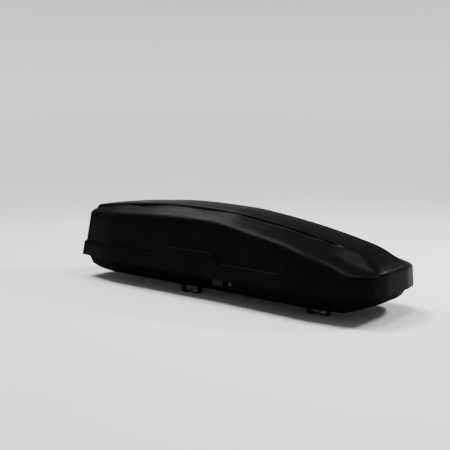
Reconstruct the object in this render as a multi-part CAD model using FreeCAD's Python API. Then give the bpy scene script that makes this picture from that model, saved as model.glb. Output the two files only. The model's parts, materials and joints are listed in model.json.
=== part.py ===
import FreeCAD, Part
import math
import os

V = FreeCAD.Vector

# All sizes are in millimetres. X runs forward to the nose, Y to the left, Z up.
# Heights below are measured from the underside of the base tray.
# The finished part is lifted at the end so that the claws stand on Z = 0.

# Overall size
half_length = 960.0
half_width = 307.0

# Plan outline at the rim of the lid, half of it: distance forward, half width, corner radius
tail_half_width = 184.0
tail_round = 56.0
hip_x = -700.0
hip_half_width = 236.0
hip_round = 600.0
waist_x = 40.0
waist_half_width = 259.0
waist_round = 1200.0
bulge_x = 590.0
bulge_round = 260.0
corner_x = 848.0
corner_half_width = 285.0
corner_round = 14.0
cheek_x = 938.0
cheek_half_width = 216.0
cheek_round = 110.0
brow_half_width = 100.0
brow_round = 260.0

# Lid
lid_wall = 4.0
rim_z = 78.0
ledge_z = 145.0
ledge_step = 12.0
wall_top_z = 430.0
side_draft = math.tan(math.radians(3.5))
tail_step = 14.0
tail_lean = 60.0
raised_z = 190.0
raised_start_x = -298.0
raised_full_x = -256.0
raised_end_x = 48.0
raised_low_x = 135.0
facet_low_x = 532.0
facet_high_x = 635.0
facet_high_z = 256.0
facet_width = 45.0
spine_half_width = 103.0
spine_crown = 2.0
groove_depth = 21.0
rivet_radius = 5.0
rivet_height = 2.6
nose_rivet_slope = 32.0

# Base tray
base_wall = 4.0
base_top_z = 92.0
base_inset = 14.0
bevel_z = 28.0
bevel_inset = 34.0
floor_inset = 68.0

# Swing axes of the lid, one along each side
axis_y = 204.0
axis_z = 86.0
open_angle = 45.0
hinge_x = [-480.0, -20.0, 440.0]
pin_radius = 4.0
run_fit = 0.4
lock_travel = 16.0

# Gas struts, one pair behind and one pair in front
strut_x = [-652.0, 735.0]
strut_spread = 20.0
strut_arm = 40.0
strut_slack = 3.3
strut_tube_radius = 8.0
strut_side_gap = 0.6
strut_plate = 6.0

# Quick clamps for the crossbars
clamp_x = [625.0, -150.0]
clamp_y = 152.0
clamp_drop = 44.0
clamp_turn_z = 22.0

def turn_data(before, corner, after):
    # Directions along the two sides of a corner, and the inward bisector
    ax = corner[0] - before[0]
    ay = corner[1] - before[1]
    bx = after[0] - corner[0]
    by = after[1] - corner[1]
    a_len = math.hypot(ax, ay)
    b_len = math.hypot(bx, by)
    d1 = (ax / a_len, ay / a_len)
    d2 = (bx / b_len, by / b_len)
    n1 = (-d1[1], d1[0])
    n2 = (-d2[1], d2[0])
    scale = 1.0 + n1[0] * n2[0] + n1[1] * n2[1]
    bisector = ((n1[0] + n2[0]) / scale, (n1[1] + n2[1]) / scale)
    cross = d1[0] * d2[1] - d1[1] * d2[0]
    return d1, d2, bisector, cross


def plan_corners(inset, tail_shift=0.0, nose_shift=0.0):
    # The outline's corners, anticlockwise, moved in by an inset all round
    left = [
        (-half_length + tail_shift, tail_half_width, tail_round),
        (hip_x, hip_half_width, hip_round),
        (waist_x, waist_half_width, waist_round),
        (bulge_x, half_width, bulge_round),
        (corner_x, corner_half_width, corner_round),
        (cheek_x - nose_shift, cheek_half_width, cheek_round),
        (half_length - nose_shift, brow_half_width, brow_round),
    ]
    right = [(x, -y, r) for x, y, r in left]
    ring = right + left[::-1]
    moved = []
    for i, corner in enumerate(ring):
        after = ring[(i + 1) % len(ring)]
        d1, d2, bisector, cross = turn_data(ring[i - 1], corner, after)
        radius = corner[2] + inset
        if cross > 0:
            radius = max(corner[2] - inset, 3.0)
        moved.append((corner[0] + inset * bisector[0], corner[1] + inset * bisector[1], radius))
    return moved


def rounded_wire(corners, z):
    # Straight sides joined by tangent arcs
    stops = []
    for i, corner in enumerate(corners):
        after = corners[(i + 1) % len(corners)]
        d1, d2, bisector, cross = turn_data(corners[i - 1], corner, after)
        half_turn = 0.5 * math.acos(max(-1.0, min(1.0, d1[0] * d2[0] + d1[1] * d2[1])))
        reach = corner[2] * math.tan(half_turn)
        side = 1.0 if cross > 0 else -1.0
        unit = math.hypot(bisector[0], bisector[1])
        inward = (side * bisector[0] / unit, side * bisector[1] / unit)
        sag = corner[2] / math.cos(half_turn) - corner[2]
        start = V(corner[0] - d1[0] * reach, corner[1] - d1[1] * reach, z)
        middle = V(corner[0] + inward[0] * sag, corner[1] + inward[1] * sag, z)
        end = V(corner[0] + d2[0] * reach, corner[1] + d2[1] * reach, z)
        stops.append((start, middle, end))
    edges = []
    for i, (start, middle, end) in enumerate(stops):
        edges.append(Part.Arc(start, middle, end).toShape())
        edges.append(Part.makeLine(end, stops[(i + 1) % len(stops)][0]))
    return Part.Wire(edges)


def half_width_at(x, inset=0.0):
    # Half width of the outline at a distance forward, measured along its straight sides
    side = [(c[0], -c[1]) for c in plan_corners(inset) if c[1] < 0]
    for (x1, y1), (x2, y2) in zip(side, side[1:]):
        if x1 <= x <= x2:
            return y1 + (y2 - y1) * (x - x1) / (x2 - x1)
    return side[-1][1] if x > 0 else side[0][1]


def draft_at(z):
    return (z - rim_z) * side_draft


def polygon_wire(points):
    return Part.makePolygon([V(*p) for p in points] + [V(*points[0])])


def stepped_walls(d):
    # Space inside the recessed panels, opening out again below the ledge
    flare = 24.0
    slip = 0.414 * d
    low = ledge_z - slip
    high = low + ledge_step
    out = draft_at(low) - flare
    wires = [
        rounded_wire(plan_corners(d + out), rim_z - 30.0),
        rounded_wire(plan_corners(d + out), low - flare),
        rounded_wire(plan_corners(d + draft_at(high) + ledge_step, tail_step), high),
        rounded_wire(plan_corners(d + draft_at(wall_top_z) + ledge_step, tail_lean), wall_top_z),
    ]
    return Part.makeLoft(wires, True, True)


def full_walls(d):
    # Side walls flush with the skirt from the rim to above the top
    low_z = rim_z - (12.0 if d else 0.0)
    wires = [
        rounded_wire(plan_corners(d + draft_at(low_z)), low_z),
        rounded_wire(plan_corners(d + draft_at(wall_top_z), tail_lean), wall_top_z),
    ]
    return Part.makeLoft(wires, True, True)


def proud_region(d):
    # Space below the sloping edge of the raised skirt and behind the long facet
    hidden = ledge_z - 6.0
    rise = (facet_high_z - ledge_z) / (facet_high_x - facet_low_x)
    facet_rise = ledge_step + facet_width * rise
    beyond = facet_high_z + (half_length + 60.0 - facet_high_x) * rise
    stations = [
        (-half_length - 60.0, hidden, ledge_step),
        (raised_start_x, hidden, ledge_step),
        (raised_full_x, raised_z, ledge_step),
        (raised_end_x, raised_z, ledge_step),
        (0.5 * (raised_end_x + raised_low_x) - 12.0, 0.5 * (raised_z + ledge_z) + 12.0, ledge_step),
        (raised_low_x, hidden, ledge_step),
        (facet_low_x - facet_width, hidden, ledge_step),
        (facet_low_x, hidden, facet_rise),
        (facet_high_x, facet_high_z, facet_rise),
        (half_length + 60.0, beyond, facet_rise),
    ]
    low_z = rim_z - 30.0
    wide = half_width + 60.0
    margin = 3.0
    wires = []
    for x, z_out, step_rise in stations:
        z = z_out - 0.414 * d
        y = half_width_at(x) - d - draft_at(z)
        slope = step_rise / ledge_step
        outer = (y + margin, z - margin * slope)
        inner = (y - ledge_step - margin, z + step_rise + margin * slope)
        points = [
            (x, -wide, low_z),
            (x, wide, low_z),
            (x, wide, outer[1]),
            (x, outer[0], outer[1]),
            (x, inner[0], inner[1]),
            (x, -inner[0], inner[1]),
            (x, -outer[0], outer[1]),
            (x, -wide, outer[1]),
        ]
        wires.append(polygon_wire(points))
    return Part.makeLoft(wires, True, True)


# Lid height along its length: distance forward, spine, shoulder edge, roll drop, depth of the channel
top_stations = [
    (-1020.0, 343.0, 296.0, 20.0, 1.0),
    (-900.0, 358.0, 308.0, 21.0, 1.0),
    (-780.0, 372.0, 320.0, 20.0, 1.0),
    (-600.0, 389.0, 333.0, 20.0, 1.0),
    (-390.0, 403.0, 343.0, 21.0, 1.0),
    (-180.0, 406.0, 350.0, 19.0, 1.0),
    (0.0, 400.0, 351.0, 17.0, 1.0),
    (180.0, 386.5, 335.0, 17.0, 1.0),
    (360.0, 360.5, 306.0, 17.0, 1.0),
    (480.0, 340.0, 287.0, 17.0, 1.0),
    (580.0, 320.0, 264.0, 19.0, 1.0),
    (660.0, 302.5, 240.0, 22.0, 1.0),
    (685.0, 296.5, 232.0, 23.0, 0.95),
    (710.0, 290.0, 223.5, 24.0, 0.62),
    (735.0, 283.5, 213.5, 25.0, 0.2),
    (760.0, 276.5, 202.5, 26.0, 0.0),
    (790.0, 267.5, 188.0, 28.0, 0.0),
    (840.0, 248.0, 166.0, 32.0, 0.0),
    (880.0, 227.0, 158.0, 30.0, 0.0),
    (940.0, 190.0, 150.0, 22.0, 0.0),
    (1010.0, 147.0, 128.0, 14.0, 0.0),
]
roll_share = 0.43


def top_profile(x, spine, edge, roll, depth, d):
    # Half section across the top: spine, channel, ridge and rolled shoulder
    w = half_width_at(min(x, corner_x)) - draft_at(edge) - ledge_step * depth - d
    ridge = edge + roll
    s = spine_half_width - d * depth
    roll_width = roll_share * (w - s)
    ridge_y = w - roll_width
    drop = groove_depth * depth
    plain = (ridge - spine) / (ridge_y - s)
    foot_y = s + 16.0
    valley_y = foot_y + 0.16 * (w - s)
    foot = spine + plain * (foot_y - s) * (1.0 - depth) - drop
    valley = spine + plain * (valley_y - s) * (1.0 - depth) - drop
    brim = 0.5 * (1.0 - depth)
    return [
        ("arc", (0.0, spine + spine_crown - d)),
        ("point", (s - 7.0, spine - d)),
        ("arc", (s - 1.5, spine - 1.8 * depth - brim - d)),
        ("point", (s + 1.5, spine - 7.0 * depth - brim - d)),
        ("point", (s + 7.5, spine + (foot - spine) * (0.45 + 0.32 * depth) - d)),
        ("arc", (s + 10.5, spine + (foot - spine) * (0.62 + 0.3 * depth) - d)),
        ("point", (foot_y, foot - d)),
        ("point", (valley_y, valley - d)),
        ("curve", [
            (ridge_y, ridge - d),
            (w - 0.42 * roll_width, ridge - 0.28 * roll - d),
            (w, edge - d),
            (w + 45.0, edge - 0.35 * roll - 26.0 - d),
        ]),
    ]


def half_edges(x, profile):
    # Right-hand half of a section, from the middle outwards
    edges = []
    last = None
    via = None
    for kind, data in profile[1:]:
        if kind == "arc":
            via = data
            continue
        if kind == "curve":
            curve = Part.BSplineCurve()
            curve.interpolate([V(x, last[0], last[1])] + [V(x, y, z) for y, z in data])
            edges.append(curve.toShape())
            last = data[-1]
            continue
        if last is not None:
            if via is not None:
                bend = Part.BSplineCurve()
                bend.interpolate([V(x, last[0], last[1]), V(x, via[0], via[1]), V(x, data[0], data[1])])
                edges.append(bend.toShape())
            else:
                edges.append(Part.makeLine(V(x, last[0], last[1]), V(x, data[0], data[1])))
        last = data
        via = None
    return edges, last


def top_body(d):
    # Everything under the top skin of the lid
    wires = []
    for x, spine, edge, roll, depth in top_stations:
        profile = top_profile(x, spine, edge, roll, depth, d)
        left, end = half_edges(x, profile)
        crown = profile[0][1]
        first = profile[1][1]
        middle = Part.BSplineCurve()
        middle.interpolate([V(x, -first[0], first[1]), V(x, crown[0], crown[1]), V(x, first[0], first[1])])
        right = [edge_shape.mirror(V(0, 0, 0), V(0, 1, 0)) for edge_shape in left]
        floor_left = V(x, end[0], 0.0)
        floor_right = V(x, -end[0], 0.0)
        sides = [
            Part.makeLine(V(x, end[0], end[1]), floor_left),
            Part.makeLine(floor_left, floor_right),
            Part.makeLine(floor_right, V(x, -end[0], end[1])),
        ]
        wires.append(Part.Wire(right[::-1] + [middle.toShape()] + left + sides))
    return Part.makeLoft(wires, True, False)


def inner_walls(d):
    return full_walls(d).common(stepped_walls(d).fuse(proud_region(d)))


lid_hollow_walls = inner_walls(lid_wall)
lid_ceiling = top_body(lid_wall)
lid_hollow = lid_hollow_walls.common(lid_ceiling)
lid_outside = inner_walls(0.0).common(top_body(0.0))
parts = {}


def box(x1, x2, y1, y2, z1, z2):
    return Part.makeBox(x2 - x1, y2 - y1, z2 - z1, V(x1, y1, z1))


def rod(radius, start, direction, length):
    return Part.makeCylinder(radius, length, V(*start), V(*direction))


def plate_x(points, x1, x2):
    # Outline in Y and Z, pulled along X
    face = Part.Face(Part.makePolygon([V(x1, y, z) for y, z in points + points[:1]]))
    return face.extrude(V(x2 - x1, 0, 0))


def plate_y(points, y1, y2):
    # Outline in X and Z, pulled along Y
    face = Part.Face(Part.makePolygon([V(x, y1, z) for x, z in points + points[:1]]))
    return face.extrude(V(0, y2 - y1, 0))


def mirrored(shape):
    return shape.mirror(V(0, 0, 0), V(0, 1, 0))


def save_pair(name, left):
    parts[name + "_left"] = left
    parts[name + "_right"] = mirrored(left)


def base_volume(d, top_z):
    # Outside of the tray moved in by d
    steps = [
        (top_z, base_inset, 26.0, 2.0),
        (bevel_z, bevel_inset, 42.0, 21.0),
        (d, floor_inset, 58.0, 60.0),
    ]
    wires = [rounded_wire(plan_corners(inset + d, tail, nose), z) for z, inset, tail, nose in steps]
    return Part.makeLoft(wires, True, True)


def floor_rib(y, low, high, height, x1, x2):
    # Long stiffening bead in the floor
    points = [(y - low, 0.0), (y + low, 0.0), (y + high, height), (y - high, height)]
    return plate_x(points, x1, x2)


def clamp_slot(x, y):
    return box(x + 52.0, x + 85.0, y - 15.0, y + 15.0, -5.0, 12.0)


latch_y = axis_y - 4.0
rail_y = axis_y - 22.0
rail_low = 56.0
rail_high = 66.0


def latch_block(grow):
    # Rectangular housing let into the side of the tray
    return box(28.0 - grow, 192.0 + grow, latch_y - grow, latch_y + 64.0, 31.0 - grow, 67.0 + grow)


def base_tray():
    tray = base_volume(0.0, base_top_z).cut(base_volume(base_wall, base_top_z + 6.0))
    for y in (-54.0, -18.0, 18.0, 54.0):
        tray = tray.fuse(floor_rib(y, 15.0, 11.0, 9.0, -700.0, 640.0))
        tray = tray.cut(floor_rib(y, 11.0, 7.0, 5.0, -696.0, 636.0))
    for x in clamp_x:
        tray = tray.cut(clamp_slot(x, clamp_y)).cut(clamp_slot(x, -clamp_y))
    return tray.cut(latch_block(0.0)).cut(mirrored(latch_block(0.0)))


channel_y = 98.0


def base_rail():
    # Pressed steel channel that spreads the load along the floor
    outer = [(-24.0, 0.0), (-24.0, 2.0), (-16.0, 2.0), (-13.0, 10.0), (13.0, 10.0), (16.0, 2.0), (24.0, 2.0), (24.0, 0.0)]
    inner = [(14.0, 0.0), (11.2, 8.0), (-11.2, 8.0), (-14.0, 0.0)]
    points = [(channel_y + y, base_wall + z) for y, z in outer + inner]
    return plate_x(points, -600.0, 560.0)


def hinge_post(x):
    # Two cheeks with an open cradle for the pin, on a foot plate
    a = axis_y
    points = [
        (a - 78.0, base_wall),
        (a - 42.0, base_wall),
        (a - 9.0, 34.0),
        (a + 11.0, 78.0),
        (a + 11.0, 95.0),
        (a - 12.0, 95.0),
        (a - 32.0, 76.0),
        (a - 48.0, 26.0),
        (a - 78.0, 10.0),
    ]
    cheeks = plate_x(points, x - 24.0, x - 18.0).fuse(plate_x(points, x + 18.0, x + 24.0))
    foot = box(x - 24.0, x + 24.0, a - 78.0, a - 44.0, base_wall, base_wall + 4.0)
    post = cheeks.fuse(foot)
    wide = pin_radius + run_fit
    cradle = box(x - 30.0, x + 30.0, a - wide, a + wide, axis_z, 100.0)
    post = post.cut(cradle).cut(rod(wide, (x - 30.0, a, axis_z), (1, 0, 0), 60.0))
    window = box(x - 30.0, x + 30.0, rail_y - 3.4, rail_y + 3.4, rail_low - 0.4, rail_high + 0.4)
    return post.cut(window)


def hinge_posts():
    return Part.Compound([hinge_post(x) for x in hinge_x])


def hinge_pins():
    return Part.Compound([rod(pin_radius, (x - 28.0, axis_y, axis_z), (1, 0, 0), 66.0) for x in hinge_x])


def arm_height(x):
    # Lowest height of an arm that clears the tray's edge as the lid swings down on this side
    reach = math.hypot(half_width_at(x) - base_inset - axis_y, base_top_z - axis_z)
    return axis_z + reach + 6.0


def lid_arm(x1, x2, x_mid):
    # Bent arm from the swing axis up and out to the lid wall
    low = arm_height(x_mid)
    wall = half_width_at(x_mid) + 12.0
    a = axis_y
    web = [
        (a - 9.0, axis_z),
        (a + 6.0, axis_z),
        (a + 3.0, low - 10.0),
        (a + 15.0, low),
        (wall, low),
        (wall, low + 14.0),
        (a + 2.0, low + 14.0),
        (a - 9.0, low + 2.0),
    ]
    flange = box(min(x1, x_mid - 14.0), max(x2, x_mid + 14.0), a + 2.0, wall, low + 10.0, low + 14.0)
    return plate_x(web, x1, x2).fuse(flange)


def lid_bracket(x):
    # Knuckle that turns on the pin, carried by an arm from the lid wall
    arm = lid_arm(x - 4.0, x + 4.0, x).common(lid_hollow_walls)
    knuckle = rod(9.5, (x - 14.0, axis_y, axis_z), (1, 0, 0), 28.0)
    bore = rod(pin_radius + run_fit, (x - 20.0, axis_y, axis_z), (1, 0, 0), 40.0)
    return arm.fuse(knuckle).cut(bore).removeSplitter()


def lock_rail():
    # Flat bar with a hooked plate welded on beside each post
    bar = box(hinge_x[0] + 20.0, hinge_x[2] + 54.0, rail_y - 3.0, rail_y + 3.0, rail_low, rail_high)
    a = axis_y
    roof = axis_z + pin_radius + 1.0
    points = [
        (rail_y - 3.0, rail_low),
        (rail_y + 3.0, rail_low),
        (a - 13.0, axis_z - 8.0),
        (a - 13.0, roof),
        (a + 6.0, roof),
        (a + 6.0, roof + 5.0),
        (a - 16.0, roof + 5.0),
        (a - 21.0, roof),
        (a - 21.0, axis_z - 6.0),
        (rail_y - 3.0, rail_high + 4.0),
    ]
    hooks = [plate_x(points, x + 43.0, x + 54.0).cut(bar) for x in hinge_x]
    return Part.Compound([bar] + hooks)


def latch_frame():
    # Finger pocket with walls all round and a boss for the lock barrel
    frame = latch_block(0.0).common(base_volume(0.0, base_top_z))
    y = latch_y
    hollow = box(31.0, 189.0, y + 3.0, y + 72.0, 34.0, 64.0)
    boss = rod(11.0, (170.0, y, 49.0), (0, 1, 0), 29.0)
    frame = frame.cut(hollow).fuse(boss)
    frame = frame.cut(rod(8.0 + run_fit, (170.0, y - 8.0, 49.0), (0, 1, 0), 50.0))
    return frame.cut(box(64.0, 108.0, y - 8.0, y + 4.0, 49.0, 62.0))


def latch_grip():
    # Finger grip with ribs, joined to the rail by a stem
    y = latch_y
    plate = box(64.0, 124.0, y + 14.0, y + 29.0, 36.5, 61.5)
    plate = plate.makeFillet(3.0, [e for e in plate.Edges if abs(e.Vertexes[0].Y - e.Vertexes[1].Y) > 1.0])
    for k in range(7):
        plate = plate.cut(box(71.0 + 7.0 * k, 74.0 + 7.0 * k, y + 26.5, y + 32.0, 40.0, 58.0))
    stem = box(86.0, 104.0, rail_y + 3.0, y + 16.0, 51.0, 60.0)
    return plate.fuse(stem)


def lock_barrel():
    # Barrel with a key slot and a cam behind the housing
    y = latch_y
    barrel = rod(8.0, (170.0, y - 2.0, 49.0), (0, 1, 0), 32.0)
    barrel = barrel.cut(box(169.0, 171.0, y + 26.0, y + 31.0, 44.0, 54.0))
    cam = plate_y([(162.0, 43.0), (178.0, 43.0), (176.0, 65.0), (164.0, 65.0)], y - 6.0, y - 2.0)
    return barrel.fuse(cam)


def strut_ends():
    # Lower pivot beside the left axis and upper pivot on the right axis, in Y and Z
    lean = math.radians(-90.0 - 0.5 * open_angle)
    low = (axis_y + strut_arm * math.cos(lean), axis_z + strut_arm * math.sin(lean))
    high = (-axis_y, axis_z)
    return low, high


def strut_span():
    low, high = strut_ends()
    return math.hypot(high[0] - low[0], high[1] - low[1])


def along_strut(shape, x):
    # Turns a shape drawn along Y so that it lies from the lower to the upper pivot
    low, high = strut_ends()
    turn = math.degrees(math.atan2(high[1] - low[1], high[0] - low[0]))
    shape.rotate(V(0, 0, 0), V(1, 0, 0), turn)
    shape.translate(V(x, low[0], low[1]))
    return shape


def strut_tube(x):
    tube = rod(strut_tube_radius, (0, 6.0, 0), (0, 1, 0), 244.0)
    eye = rod(9.0, (-5.0, 0, 0), (1, 0, 0), 10.0)
    cap = rod(8.6, (0, 238.0, 0), (0, 1, 0), 12.0)
    body = tube.fuse(eye).fuse(cap)
    body = body.cut(rod(3.0 + run_fit, (-8.0, 0, 0), (1, 0, 0), 16.0))
    body = body.cut(rod(4.0 + run_fit, (0, 100.0, 0), (0, 1, 0), 400.0))
    return along_strut(body, x)


def strut_rod(x):
    span = strut_span()
    bar = rod(4.0, (0, 110.0, 0), (0, 1, 0), span - 110.0 - 8.0)
    eye = rod(11.0, (-4.0, span, 0), (1, 0, 0), 8.0)
    body = bar.fuse(eye).cut(rod(3.0 + strut_slack, (-8.0, span, 0), (1, 0, 0), 16.0))
    return along_strut(body, x)


def strut_foot(x, away):
    # Sloping plate from the floor to the lower pivot, with its stud; away is the side it stands on
    low, high = strut_ends()
    y, z = low
    near = x + away * (strut_tube_radius + strut_side_gap)
    far = near + away * strut_plate
    points = [
        (y - 80.0, base_wall),
        (y - 30.0, base_wall),
        (y + 4.0, 34.0),
        (y + 8.0, z),
        (y + 4.0, z + 8.0),
        (y - 5.0, z + 8.0),
        (y - 40.0, 24.0),
        (y - 80.0, 10.0),
    ]
    plate = plate_x(points, min(near, far), max(near, far))
    floor = box(min(near, far) - 4.0, max(near, far) + 4.0, y - 80.0, y - 36.0, base_wall, base_wall + 3.0)
    stud = rod(3.0, (x - away * 6.0, y, z), (away, 0, 0), abs(far - x) + 8.0)
    return plate.fuse(floor).fuse(stud)


def strut_hanger(x, away):
    # Arm on the lid with the stud for the upper pivot, drawn on the left side
    near = x + away * 5.0
    far = x + away * 11.0
    arm = lid_arm(min(near, far), max(near, far), 0.5 * (near + far)).common(lid_hollow_walls)
    boss = rod(8.0, (near, axis_y, axis_z), (away, 0, 0), 6.0)
    stud = rod(3.0, (x - away * 5.0, axis_y, axis_z), (away, 0, 0), 12.0)
    return arm.fuse(boss).fuse(stud)


def clamp_housing(x, y):
    # Moulded cover over the jaw pivot and nut, open underneath
    outer = box(x - 14.0, x + 90.0, y - 26.0, y + 26.0, base_wall, 54.0)
    upright = [e for e in outer.Edges if abs(e.Vertexes[0].Z - e.Vertexes[1].Z) > 1.0]
    outer = outer.makeFillet(10.0, upright)
    top = [e for e in outer.Edges if e.BoundBox.ZMin > 53.9]
    outer = outer.makeFillet(5.0, top)
    inner = box(x - 10.0, x + 86.0, y - 22.5, y + 22.5, 0.0, 50.0)
    inner = inner.makeFillet(6.0, [e for e in inner.Edges if abs(e.Vertexes[0].Z - e.Vertexes[1].Z) > 1.0])
    cover = outer.cut(inner)
    cover = cover.cut(rod(6.0 + run_fit, (x + 12.0, y, 40.0), (0, 0, 1), 30.0))
    return cover.cut(rod(4.0 + run_fit, (x + 62.0, y - 40.0, clamp_turn_z), (0, 1, 0), 80.0))


def clamp_knob(x, y):
    # Lobed knob with its screw
    centre = V(x + 12.0, y, 0)
    outline = [V(0, 0, 55), V(20, 0, 55), V(24, 0, 59), V(24, 0, 72), V(20, 0, 76), V(8, 0, 78), V(0, 0, 78)]
    head = Part.Face(Part.makePolygon(outline + outline[:1])).revolve(V(0, 0, 0), V(0, 0, 1), 360)
    for k in range(6):
        turn = math.radians(60.0 * k)
        head = head.cut(rod(7.0, (28.0 * math.cos(turn), 28.0 * math.sin(turn), 50.0), (0, 0, 1), 40.0))
    shaft = rod(6.0, (0, 0, 46.5), (0, 0, 1), 10.0)
    screw = rod(5.0, (0, 0, 8.0), (0, 0, 1), 40.0)
    knob = head.fuse(shaft).fuse(screw)
    knob.translate(centre)
    return knob


def clamp_nut(x, y):
    nut = box(x - 1.0, x + 25.0, y - 14.0, y + 14.0, 36.0, 44.0)
    return nut.cut(rod(5.0 + run_fit, (x + 12.0, y, 30.0), (0, 0, 1), 20.0))


def clamp_jaw(x, y):
    # Swinging jaw: lever to the nut, arm through the floor and hook under the bar
    p = x + 62.0
    z = clamp_turn_z
    lever = [(p + 4.0, z - 4.0), (p + 4.0, z + 5.0), (p - 30.0, z + 12.5), (p - 38.0, z + 12.5), (p - 38.0, z + 7.0)]
    arm = [(p - 4.5, z), (p + 4.5, z), (p + 4.5, -37.0), (p - 1.0, 1.0 - clamp_drop), (p - 40.0, 1.0 - clamp_drop)]
    arm = arm + [(p - 44.0, -38.0), (p - 44.0, -34.0), (p - 10.0, -34.0), (p - 4.5, -29.0)]
    fork = plate_y(lever, y - 13.0, y - 6.5).fuse(plate_y(lever, y + 6.5, y + 13.0))
    hook = plate_y(arm, y - 13.0, y + 13.0)
    pivot = rod(4.0, (p, y - 25.5, z), (0, 1, 0), 51.0)
    hub = rod(7.0, (p, y - 13.0, z), (0, 1, 0), 26.0)
    return hook.fuse(fork).fuse(hub).fuse(pivot)


def clamp_fixed_jaw(x, y):
    # Fixed hook and the plate that bears on the bar
    points = [
        (x - 62.0, 0.0),
        (x + 46.0, 0.0),
        (x + 46.0, -4.0),
        (x - 36.0, -4.0),
        (x - 40.0, -8.0),
        (x - 40.0, -29.0),
        (x - 35.0, -34.0),
        (x - 8.0, -34.0),
        (x - 8.0, -39.0),
        (x - 12.0, -clamp_drop),
        (x - 44.0, -clamp_drop),
        (x - 49.0, -38.0),
        (x - 49.0, -10.0),
        (x - 62.0, -4.0),
    ]
    return plate_y(points, y - 15.0, y + 15.0)


def lid_rib(x):
    # Stiffening hoop under the lid skin
    slab = box(x - 14.0, x + 14.0, -320.0, 320.0, 240.0, 430.0)
    lower = lid_ceiling.copy()
    lower.translate(V(0, 0, -10.0))
    return slab.common(lid_hollow).cut(lower)


def load_strap(x):
    half = [(0.0, 14.4), (122.0, 14.4), (125.5, 4.4), (128.5, 4.4), (124.5, 16.4), (0.0, 16.4)]
    points = half + [(-y, z) for y, z in half[-2:0:-1]]
    return plate_x(points, x - 12.5, x + 12.5)


def strap_buckle(x):
    body = box(x - 17.0, x + 17.0, -28.0, 28.0, 16.8, 24.0)
    body = body.makeFillet(3.0, [e for e in body.Edges if abs(e.Vertexes[0].Z - e.Vertexes[1].Z) > 1.0])
    for y in (-19.0, -9.0, 9.0, 19.0):
        body = body.cut(box(x - 13.0, x + 13.0, y - 2.0, y + 2.0, 10.0, 30.0))
    return body


def rivet_head(depth):
    # Low domed head about Z, its shank end at -depth
    outline = polygon_wire([
        (0.0, 0.0, -depth),
        (rivet_radius, 0.0, -depth),
        (rivet_radius, 0.0, rivet_height * 0.5),
        (rivet_radius * 0.75, 0.0, rivet_height),
        (0.0, 0.0, rivet_height),
    ])
    return Part.Face(outline).revolve(V(0, 0, 0), V(0, 0, 1), 360)


def side_rivets():
    heads = []
    skin = full_walls(0.0)
    for x, z in ((-60.0, 167.0), (2.0, 164.0), (652.0, 160.0)):
        head = rivet_head(2.0)
        head.rotate(V(0, 0, 0), V(1, 0, 0), math.degrees(math.atan(side_draft)) - 90.0)
        head.translate(V(x, half_width_at(x) - draft_at(z), z))
        head = head.cut(skin)
        heads = heads + [head, mirrored(head)]
    return Part.Compound(heads)


def nose_rivets():
    skin = top_body(0.0)
    x = 940.0
    y = 25.0
    z = 200.0
    while not skin.isInside(V(x, y, z), 0.01, True):
        z = z - 0.25
    head = rivet_head(4.0)
    head.rotate(V(0, 0, 0), V(0, 1, 0), nose_rivet_slope)
    head.translate(V(x, y, z))
    head = head.cut(skin)
    return Part.Compound([head, mirrored(head)])


parts["lid_shell"] = lid_outside.cut(lid_hollow)
parts["base_tray"] = base_tray()
parts["lid_rib_front"] = lid_rib(300.0)
parts["lid_rib_rear"] = lid_rib(-420.0)
parts["side_rivets"] = side_rivets()
parts["nose_rivets"] = nose_rivets()
save_pair("base_rail", base_rail())
save_pair("hinge_posts", hinge_posts())
save_pair("hinge_pins", hinge_pins())
for label, x in zip(("rear", "middle", "front"), hinge_x):
    save_pair("lid_bracket_" + label, lid_bracket(x))
save_pair("lock_rail", lock_rail())
save_pair("latch_grip", latch_grip())
save_pair("latch_frame", latch_frame())
save_pair("lock_barrel", lock_barrel())
feet = []
for label, x in zip(("rear", "front"), strut_x):
    other = x + strut_spread
    # The strut named left has its lower pivot on the left and its upper pivot on the right
    parts["strut_tube_" + label + "_left"] = strut_tube(x)
    parts["strut_rod_" + label + "_left"] = strut_rod(x)
    parts["strut_tube_" + label + "_right"] = mirrored(strut_tube(other))
    parts["strut_rod_" + label + "_right"] = mirrored(strut_rod(other))
    feet = feet + [strut_foot(x, -1), mirrored(strut_foot(other, 1))]
    parts["strut_hangers_" + label] = Part.Compound([mirrored(strut_hanger(x, -1)), strut_hanger(other, 1)])
parts["strut_feet"] = Part.Compound(feet)
fixed_jaws = []
for end, x in zip(("front", "rear"), clamp_x):
    for side, y in (("left", clamp_y), ("right", -clamp_y)):
        label = end + "_" + side
        parts["clamp_housing_" + label] = clamp_housing(x, y)
        parts["clamp_knob_" + label] = clamp_knob(x, y)
        parts["clamp_nut_" + label] = clamp_nut(x, y)
        parts["clamp_jaw_" + label] = clamp_jaw(x, y)
        fixed_jaws.append(clamp_fixed_jaw(x, y))
parts["fixed_jaws"] = Part.Compound(fixed_jaws)
for label, x in (("rear", -330.0), ("front", 240.0)):
    parts["load_strap_" + label] = load_strap(x)
    parts["strap_buckle_" + label] = strap_buckle(x)

os.makedirs("parts", exist_ok=True)
for name, shape in parts.items():
    lifted = shape.copy()
    lifted.translate(V(0, 0, clamp_drop))
    lifted.exportStep("parts/" + name + ".step")
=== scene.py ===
import json
import math

import bmesh
import bpy
import numpy as np
from mathutils import Matrix, Vector
from mathutils.bvhtree import BVHTree


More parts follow.
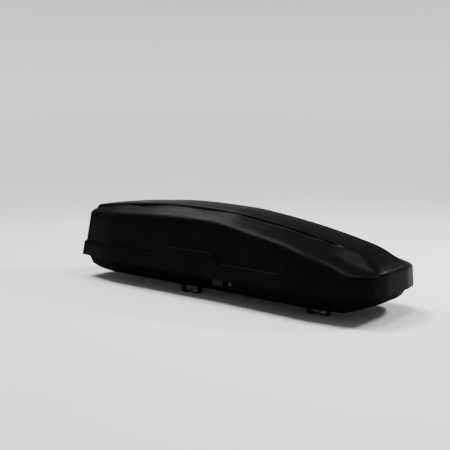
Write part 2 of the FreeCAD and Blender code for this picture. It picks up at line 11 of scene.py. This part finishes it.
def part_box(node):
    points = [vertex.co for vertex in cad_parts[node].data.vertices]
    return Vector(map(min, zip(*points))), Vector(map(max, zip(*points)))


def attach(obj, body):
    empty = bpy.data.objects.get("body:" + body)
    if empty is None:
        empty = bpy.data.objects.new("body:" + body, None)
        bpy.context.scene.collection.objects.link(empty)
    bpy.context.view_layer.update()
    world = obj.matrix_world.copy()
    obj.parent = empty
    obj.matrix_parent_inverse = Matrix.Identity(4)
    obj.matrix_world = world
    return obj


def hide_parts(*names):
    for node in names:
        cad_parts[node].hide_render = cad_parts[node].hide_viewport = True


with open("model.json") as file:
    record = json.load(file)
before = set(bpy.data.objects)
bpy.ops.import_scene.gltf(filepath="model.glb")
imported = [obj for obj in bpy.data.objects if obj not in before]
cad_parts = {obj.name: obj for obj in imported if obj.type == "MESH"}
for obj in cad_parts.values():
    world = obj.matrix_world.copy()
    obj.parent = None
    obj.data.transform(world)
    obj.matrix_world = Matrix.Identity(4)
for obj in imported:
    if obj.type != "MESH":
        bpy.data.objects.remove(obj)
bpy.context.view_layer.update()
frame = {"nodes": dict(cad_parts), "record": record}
slot_of = {part["node"]: part["material_slot"] for part in frame["record"]["subparts"]}
body_of = {
    node: body
    for body, nodes in frame["record"]["behaviour"]["bodies"].items()
    for node in nodes
}

# Lengths in metres
lid_wall = 0.004
skin_grid = 0.003
skirt_spare = 0.03
same_point = 0.00002
rim_flatness = 0.0001
rib_clearance = 0.0006
tuck_reach = 0.06
strap_width = 0.025
strap_thickness = 0.0018

# Share of the skin's faces that are kept once its edges are round
kept_faces = 0.2


def add_object(name, mesh):
    piece = bpy.data.objects.new(name, mesh)
    bpy.context.scene.collection.objects.link(piece)
    return piece


def shade_smooth(mesh):
    mesh.polygons.foreach_set("use_smooth", [True] * len(mesh.polygons))


def baked(piece):
    # The piece with its modifiers worked into its mesh
    bpy.context.view_layer.update()
    shown = piece.evaluated_get(bpy.context.evaluated_depsgraph_get())
    mesh = bpy.data.meshes.new_from_object(shown)
    piece.modifiers.clear()
    piece.data = mesh
    return piece


# Materials
class Recipe:
    # Most of a noise's values lie between these two
    noise_low = 0.3
    noise_high = 0.7

    def __init__(self, name):
        self.material = bpy.data.materials.new(name)
        self.material.use_nodes = True
        self.tree = self.material.node_tree
        self.shader = self.tree.nodes["Principled BSDF"]
        self.place = self.tree.nodes.new("ShaderNodeTexCoord").outputs["Object"]

    def noise(self, per_metre, detail=2.0, rough=0.5):
        node = self.tree.nodes.new("ShaderNodeTexNoise")
        node.inputs["Scale"].default_value = per_metre
        node.inputs["Detail"].default_value = detail
        node.inputs["Roughness"].default_value = rough
        self.tree.links.new(self.place, node.inputs["Vector"])
        return node.outputs["Fac"]

    def spread(self, value, low, high):
        node = self.tree.nodes.new("ShaderNodeMapRange")
        node.inputs["From Min"].default_value = self.noise_low
        node.inputs["From Max"].default_value = self.noise_high
        node.inputs["To Min"].default_value = low
        node.inputs["To Max"].default_value = high
        self.tree.links.new(value, node.inputs["Value"])
        return node.outputs["Result"]

    def tint(self, value, dark, light):
        node = self.tree.nodes.new("ShaderNodeMix")
        node.data_type = "RGBA"
        node.inputs["A"].default_value = (*dark, 1.0)
        node.inputs["B"].default_value = (*light, 1.0)
        self.tree.links.new(value, node.inputs["Factor"])
        self.tree.links.new(node.outputs["Result"], self.shader.inputs["Base Color"])

    def gloss(self, value, smoothest, roughest):
        self.tree.links.new(self.spread(value, smoothest, roughest), self.shader.inputs["Roughness"])

    def bump(self, value, depth, strength):
        node = self.tree.nodes.new("ShaderNodeBump")
        node.inputs["Distance"].default_value = depth
        node.inputs["Strength"].default_value = strength
        self.tree.links.new(value, node.inputs["Height"])
        self.tree.links.new(node.outputs["Normal"], self.shader.inputs["Normal"])


def grained_plastic(name, dark, light, roughness, grain, depth, level):
    # Moulded plastic or coating with a fine grain, slightly uneven in gloss and colour
    uneven = 0.04
    recipe = Recipe(name)
    shade = recipe.spread(recipe.noise(per_metre=6.0, detail=3.0), 0.0, 1.0)
    recipe.tint(shade, dark, light)
    recipe.gloss(recipe.noise(per_metre=14.0, detail=4.0), roughness - uneven, roughness + uneven)
    recipe.bump(recipe.noise(grain, detail=3.0, rough=0.6), depth, strength=0.35)
    recipe.shader.inputs["Specular IOR Level"].default_value = level
    return recipe.material


def metal(name, color, roughness, streak):
    # Bare metal, slightly clouded, with worn patches that shine less
    clouded = 0.85
    shinier = 0.05
    duller = 0.08
    recipe = Recipe(name)
    darker = [channel * clouded for channel in color]
    recipe.tint(recipe.noise(per_metre=60.0, detail=3.0), darker, color)
    recipe.gloss(recipe.noise(streak, detail=3.0), roughness - shinier, roughness + duller)
    recipe.shader.inputs["Metallic"].default_value = 1.0
    return recipe.material


def webbing(name):
    # Flat woven strap: ribs across its length
    recipe = Recipe(name)
    wave = recipe.tree.nodes.new("ShaderNodeTexWave")
    wave.wave_type = "BANDS"
    wave.bands_direction = "Y"
    wave.inputs["Scale"].default_value = 260.0
    wave.inputs["Distortion"].default_value = 0.6
    recipe.tree.links.new(recipe.place, wave.inputs["Vector"])
    recipe.tint(wave.outputs["Fac"], dark=(0.008, 0.008, 0.009), light=(0.035, 0.035, 0.037))
    recipe.bump(wave.outputs["Fac"], depth=0.0006, strength=0.8)
    recipe.shader.inputs["Roughness"].default_value = 0.75
    return recipe.material


finish = {
    "lid_plastic": grained_plastic(
        "lid_black", (0.0024, 0.0024, 0.0025), (0.0034, 0.0034, 0.0035),
        roughness=0.36, grain=900.0, depth=0.0003, level=0.012,
    ),
    "base_plastic": grained_plastic(
        "base_black", (0.0020, 0.0020, 0.0020), (0.0030, 0.0029, 0.0028),
        roughness=0.48, grain=600.0, depth=0.0004, level=0.003,
    ),
    "clamp_plastic": grained_plastic(
        "clamp_black", (0.003, 0.003, 0.0031), (0.005, 0.005, 0.0052),
        roughness=0.5, grain=800.0, depth=0.0004, level=0.06,
    ),
    "knob_plastic": grained_plastic(
        "knob_grey", (0.008, 0.008, 0.0083), (0.012, 0.012, 0.0123),
        roughness=0.5, grain=700.0, depth=0.0004, level=0.1,
    ),
    "rivet_plastic": grained_plastic(
        "rivet_black", (0.0004, 0.0004, 0.0004), (0.0007, 0.0007, 0.0007),
        roughness=0.55, grain=1200.0, depth=0.0001, level=0.01,
    ),
    "black_steel": grained_plastic(
        "coated_steel", (0.003, 0.003, 0.0033), (0.005, 0.005, 0.0054),
        roughness=0.38, grain=1500.0, depth=0.0002, level=0.12,
    ),
    "plain_steel": metal("zinc_steel", (0.36, 0.36, 0.37), roughness=0.36, streak=90.0),
    "lock_face": metal("dull_lock", (0.035, 0.035, 0.036), roughness=0.45, streak=90.0),
    "bright_rod": metal("polished_rod", (0.30, 0.30, 0.31), roughness=0.24, streak=40.0),
    "webbing": webbing("strap_webbing"),
}

for node, piece in frame["nodes"].items():
    for holder in piece.material_slots:
        holder.material = finish[slot_of[node]]

# The photograph shows no bright spot on the side, so the locks are dull
for node in ("lock_barrel_left", "lock_barrel_right"):
    for holder in frame["nodes"][node].material_slots:
        holder.material = finish["lock_face"]


# Lid skin: the outer face of the shell with its edges rounded, then given its wall
def welded(node):
    shape = bmesh.new()
    shape.from_mesh(frame["nodes"][node].data)
    bmesh.ops.remove_doubles(shape, verts=shape.verts, dist=same_point)
    return shape


def islands_of(shape):
    # The sets of points that faces join
    left = set(shape.verts)
    islands = []
    while left:
        island = {left.pop()}
        waiting = list(island)
        while waiting:
            vertex = waiting.pop()
            for edge in vertex.link_edges:
                other = edge.other_vert(vertex)
                if edge.link_faces and other not in island:
                    island.add(other)
                    waiting.append(other)
        left -= island
        islands.append(island)
    return islands


def length_of(island):
    return max(v.co.x for v in island) - min(v.co.x for v in island)


def outer_island(shape):
    # Leaves the longer of the two skins that remain without the rim's underside
    rim = min(v.co.z for v in shape.verts)
    under = [f for f in shape.faces if all(v.co.z < rim + rim_flatness for v in f.verts)]
    bmesh.ops.delete(shape, geom=under, context="FACES_ONLY")
    for island in sorted(islands_of(shape), key=length_of)[:-1]:
        bmesh.ops.delete(shape, geom=list(island), context="VERTS")
    return rim


def closed_below(shape, rim):
    # Draws the open rim down and closes it, so that the skin is a solid to remesh
    edges = [e for e in shape.edges if len(e.link_faces) == 1]
    made = bmesh.ops.extrude_edge_only(shape, edges=edges)["geom"]
    low = [g for g in made if isinstance(g, bmesh.types.BMVert)]
    for vertex in low:
        vertex.co.z = rim - skirt_spare
    rest = [e for e in shape.edges if len(e.link_faces) == 1]
    bmesh.ops.triangle_fill(shape, edges=rest, use_beauty=True)
    bmesh.ops.recalc_face_normals(shape, faces=shape.faces)


def relaxed(mesh, passes, share):
    # Rounds edges: in each pass a point moves towards the middle of its neighbours, by its share
    count = len(mesh.vertices)
    co = np.empty(count * 3)
    mesh.vertices.foreach_get("co", co)
    co = co.reshape(-1, 3)
    ends = np.empty(len(mesh.edges) * 2, int)
    mesh.edges.foreach_get("vertices", ends)
    ends = ends.reshape(-1, 2)
    weight = share(co)
    ends = ends[(weight[ends] > 0).any(axis=1)]
    used, short = np.unique(ends, return_inverse=True)
    a, b = short.reshape(-1, 2).T
    size = len(used)
    near = co[used]
    degree = np.bincount(a, minlength=size) + np.bincount(b, minlength=size)
    pull = (0.5 * weight[used] / degree)[:, None]
    for _ in range(passes):
        total = np.stack([
            np.bincount(a, near[b, k], size) + np.bincount(b, near[a, k], size) for k in range(3)
        ], axis=1)
        near = near + pull * (total - degree[:, None] * near)
    co[used] = near
    mesh.vertices.foreach_set("co", co.ravel())
    mesh.update()


def ramp(value, start, end):
    return np.clip((value - start) / (end - start), 0.0, 1.0)


def lid_rim():
    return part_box("lid_shell")[0].z


def below_top(co):
    # How far each point lies under the highest point at its place along the box
    slice_length = 0.01
    step = np.round(co[:, 0] / slice_length).astype(int)
    step -= step.min()
    highest = np.full(step.max() + 1, -1.0)
    np.maximum.at(highest, step, co[:, 2])
    return highest[step] - co[:, 2]


# How much of a rounding acts at each point of the lid, from 0 to 1. The lengths are heights
# over the rim, distances from the middle line, depths under the top and places along the box.
def everywhere(co):
    return np.ones(len(co))


def above_skirt(co):
    rim = lid_rim()
    return ramp(co[:, 2], rim + 0.14, rim + 0.17)


def shoulders(co):
    # The broad rolls beside the deck
    rim = lid_rim()
    aside = ramp(np.abs(co[:, 1]), 0.12, 0.19)
    high = (1.0 - ramp(below_top(co), 0.10, 0.15)) * ramp(co[:, 2], rim + 0.05, rim + 0.09)
    ends = (1.0 - ramp(co[:, 0], -0.80, -0.86)) * (1.0 - ramp(co[:, 0], 0.80, 0.90))
    return aside * high * ends


def nose_edge(co):
    rim = lid_rim()
    return ramp(co[:, 0], 0.70, 0.85) * ramp(co[:, 2], rim + 0.05, rim + 0.08)


# Passes of each rounding, in turn
roundings = ((everywhere, 4), (above_skirt, 12), (shoulders, 500), (nose_edge, 30))


def solid_skin():
    # The lid's outer face, closed below its rim and with its edges rounded
    shape = welded("lid_shell")
    rim = outer_island(shape)
    closed_below(shape, rim)
    mesh = bpy.data.meshes.new("lid_skin")
    shape.to_mesh(mesh)
    shape.free()
    piece = add_object("lid_skin", mesh)
    grid = piece.modifiers.new("grid", "REMESH")
    grid.mode = "VOXEL"
    grid.voxel_size = skin_grid
    baked(piece)
    for share, passes in roundings:
        relaxed(piece.data, passes, share)
    fewer = piece.modifiers.new("fewer", "DECIMATE")
    fewer.ratio = kept_faces
    baked(piece)
    return piece, rim


def lid_skin():
    # Cut at the rim and given the lid's wall; returns the outer face for what lies under it
    piece, rim = solid_skin()
    shape = bmesh.new()
    shape.from_mesh(piece.data)
    everything = list(shape.verts) + list(shape.edges) + list(shape.faces)
    bmesh.ops.bisect_plane(
        shape, geom=everything, plane_co=(0, 0, rim), plane_no=(0, 0, 1), clear_inner=True
    )
    shape.to_mesh(piece.data)
    outer = BVHTree.FromBMesh(shape)
    shape.free()
    wall = piece.modifiers.new("wall", "SOLIDIFY")
    wall.thickness = lid_wall
    wall.offset = -1.0
    baked(piece)
    shade_smooth(piece.data)
    piece.data.materials.append(finish["lid_plastic"])
    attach(piece, "lid")
    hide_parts("lid_shell")
    return outer


# Pieces whose sharp edges are broken, with the width of the broken edge
edge_width = {
    "base_tray": 0.0012,
    "clamp_housing": 0.0006,
    "clamp_knob": 0.0008,
    "clamp_jaw": 0.0007,
    "fixed_jaws": 0.0007,
    "hinge_posts": 0.00025,
    "latch_frame": 0.0005,
    "latch_grip": 0.0008,
    "lid_bracket": 0.0005,
    "lid_rib": 0.0005,
    "strut_hangers": 0.0005,
    "strap_buckle": 0.0006,
    "base_rail": 0.0004,
    "lock_rail": 0.0003,
}
flat_angle = math.radians(1.0)
broken_angle = math.radians(38.0)
shaded_angle = math.radians(34.0)
strap_edge_angle = math.radians(50.0)


def dressed(node, mesh):
    # A piece that stands for one node, with that node's body and finish
    piece = add_object(node + "_dressed", mesh)
    if not mesh.materials:
        mesh.materials.append(finish[slot_of[node]])
    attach(piece, body_of[node])
    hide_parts(node)
    return piece


def bevelled(node, width):
    # The node's form with its sharp edges broken
    shape = welded(node)
    bmesh.ops.dissolve_limit(shape, angle_limit=flat_angle, verts=shape.verts, edges=shape.edges)
    mesh = bpy.data.meshes.new(node)
    shape.to_mesh(mesh)
    shape.free()
    piece = dressed(node, mesh)
    edge = piece.modifiers.new("edge", "BEVEL")
    edge.width = width
    edge.segments = 2
    edge.limit_method = "ANGLE"
    edge.angle_limit = broken_angle
    edge.miter_outer = "MITER_ARC"
    baked(piece)
    shade_smooth(piece.data)
    piece.data.set_sharp_from_angle(angle=shaded_angle)
    return piece


def tucked(piece, outer, spare):
    # Draws what would stand through the rounded lid back under its wall
    for vertex in piece.data.vertices:
        place, normal, _, gap = outer.find_nearest(vertex.co)
        depth = (vertex.co - place).dot(normal)
        if gap < tuck_reach and depth > -spare:
            vertex.co += normal * (-spare - depth)
    piece.data.update()


outer_skin = lid_skin()
for node in sorted(frame["nodes"]):
    width = next((edge_width[kind] for kind in edge_width if node.startswith(kind)), None)
    if width:
        piece = bevelled(node, width)
        if body_of[node] == "lid":
            tucked(piece, outer_skin, lid_wall + rib_clearance)


# Load straps: woven bands on the floor of the tray
def band(name, line, width, thick):
    # A flat band along a line of (y, z) points; its section has rounded edges and is given
    # in shares of the width and the thickness
    across = [
        (-0.5, -0.2), (-0.46, -0.5), (0.46, -0.5), (0.5, -0.2),
        (0.5, 0.2), (0.46, 0.5), (-0.46, 0.5), (-0.5, 0.2),
    ]
    verts = []
    for i, (y, z) in enumerate(line):
        before, after = line[max(i - 1, 0)], line[min(i + 1, len(line) - 1)]
        run = math.hypot(after[0] - before[0], after[1] - before[1])
        up = (-(after[1] - before[1]) / run, (after[0] - before[0]) / run)
        for u, v in across:
            verts.append((u * width, y + up[0] * v * thick, z + up[1] * v * thick))
    n = len(across)
    faces = []
    for i in range(len(line) - 1):
        for k in range(n):
            m = (k + 1) % n
            faces.append((i * n + k, i * n + m, (i + 1) * n + m, (i + 1) * n + k))
    faces.append(tuple(range(n - 1, -1, -1)))
    faces.append(tuple((len(line) - 1) * n + k for k in range(n)))
    mesh = bpy.data.meshes.new(name)
    mesh.from_pydata(verts, [], faces)
    shade_smooth(mesh)
    mesh.set_sharp_from_angle(angle=strap_edge_angle)
    mesh.materials.append(finish["webbing"])
    return mesh


def strap_line(node):
    # From one slot in the floor over to the other, with a slight wave between
    low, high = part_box(node)
    top = high.z - 0.001
    half = high.y - 0.0045
    foot = low.z + 0.002
    foot_out = 0.003
    bend_out = 0.001
    bend_height = 0.005
    bend_length = 0.004
    sag = 0.0004
    wave_height = 0.0006
    wave_radians_per_metre = 70.0
    steps = 40
    line = [(-half - foot_out, foot), (-half - bend_out, top - bend_height)]
    for i in range(steps + 1):
        y = -half + bend_length + (2 * half - 2 * bend_length) * i / steps
        wave = wave_height * math.sin(y * wave_radians_per_metre)
        line.append((y, top - sag + wave))
    line += [(half + bend_out, top - bend_height), (half + foot_out, foot)]
    return line


def load_strap(node):
    low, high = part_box(node)
    line = strap_line(node)
    mesh = band(node, line, strap_width, strap_thickness)
    mesh.transform(Matrix.Translation(((low.x + high.x) / 2, 0, 0)))
    piece = add_object(node + "_webbing", mesh)
    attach(piece, "base")
    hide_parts(node)


for node in ("load_strap_front", "load_strap_rear"):
    load_strap(node)


# Floor, light and camera
def stage_floor():
    half = 60.0
    corners = [(-half, -half, 0), (half, -half, 0), (half, half, 0), (-half, half, 0)]
    mesh = bpy.data.meshes.new("floor")
    mesh.from_pydata(corners, [], [(0, 1, 2, 3)])
    floor = add_object("floor", mesh)
    recipe = Recipe("pale_floor")
    recipe.tint(recipe.noise(per_metre=1.2), dark=(0.78, 0.78, 0.78), light=(0.82, 0.82, 0.82))
    recipe.shader.inputs["Roughness"].default_value = 0.9
    recipe.shader.inputs["Specular IOR Level"].default_value = 0.1
    floor.data.materials.append(recipe.material)


def softbox(name, place, aim, width, height, power):
    light = bpy.data.lights.new(name, "AREA")
    light.shape = "RECTANGLE"
    light.size = width
    light.size_y = height
    light.energy = power
    lamp = add_object(name, light)
    lamp.location = place
    lamp.rotation_euler = (Vector(aim) - Vector(place)).to_track_quat("-Z", "Y").to_euler()


def ceiling_light(toward, strength, width):
    # Broad light far above, so that the floor is lit evenly
    light = bpy.data.lights.new("ceiling_light", "SUN")
    light.energy = strength
    light.angle = width
    lamp = add_object("ceiling_light", light)
    lamp.rotation_euler = Vector(toward).to_track_quat("Z", "Y").to_euler()


def surroundings(at_horizon, overhead, fade_from, fade_to):
    # Pale all round at the horizon and dim overhead
    world = bpy.data.worlds.new("studio")
    world.use_nodes = True
    tree = world.node_tree
    place = tree.nodes.new("ShaderNodeTexCoord")
    split = tree.nodes.new("ShaderNodeSeparateXYZ")
    fade = tree.nodes.new("ShaderNodeMapRange")
    fade.interpolation_type = "SMOOTHSTEP"
    fade.inputs["From Min"].default_value = math.sin(fade_from)
    fade.inputs["From Max"].default_value = math.sin(fade_to)
    fade.inputs["To Min"].default_value = at_horizon
    fade.inputs["To Max"].default_value = overhead
    tree.links.new(place.outputs["Generated"], split.inputs["Vector"])
    tree.links.new(split.outputs["Z"], fade.inputs["Value"])
    tree.links.new(fade.outputs["Result"], tree.nodes["Background"].inputs["Strength"])
    tree.nodes["Background"].inputs["Color"].default_value = (1.0, 1.0, 1.0, 1.0)
    bpy.context.scene.world = world


def studio():
    surroundings(1.25, 0.16, fade_from=math.radians(1.5), fade_to=math.radians(17.0))
    ceiling_light(toward=(-0.5, 0.07, 0.86), strength=4.8, width=math.radians(26.0))
    softbox(
        "nose_light", place=(2.2, 2.8, 2.5), aim=(0.95, 0.0, 0.25),
        width=0.8, height=0.5, power=165.0,
    )
    softbox(
        "front_light", place=(0.75, 0.4, 3.4), aim=(0.75, -0.1, 0.3),
        width=0.8, height=0.5, power=70.0,
    )
    softbox(
        "side_light", place=(-2.2, 1.3, 2.6), aim=(0.1, -0.2, 0.35),
        width=1.6, height=0.7, power=50.0,
    )


def camera():
    # The eye of the photograph, with the angles that it is turned and dipped by
    turn, dip = math.radians(38.297), math.radians(7.908)
    lens = bpy.data.cameras.new("camera")
    lens.sensor_width = 36.0
    lens.lens = 67.52
    eye = add_object("camera", lens)
    eye.location = (2.6617, -3.4218, 0.9503)
    eye.rotation_euler = (math.pi / 2 - dip, 0.0, turn)
    bpy.context.scene.camera = eye


stage_floor()
studio()
camera()
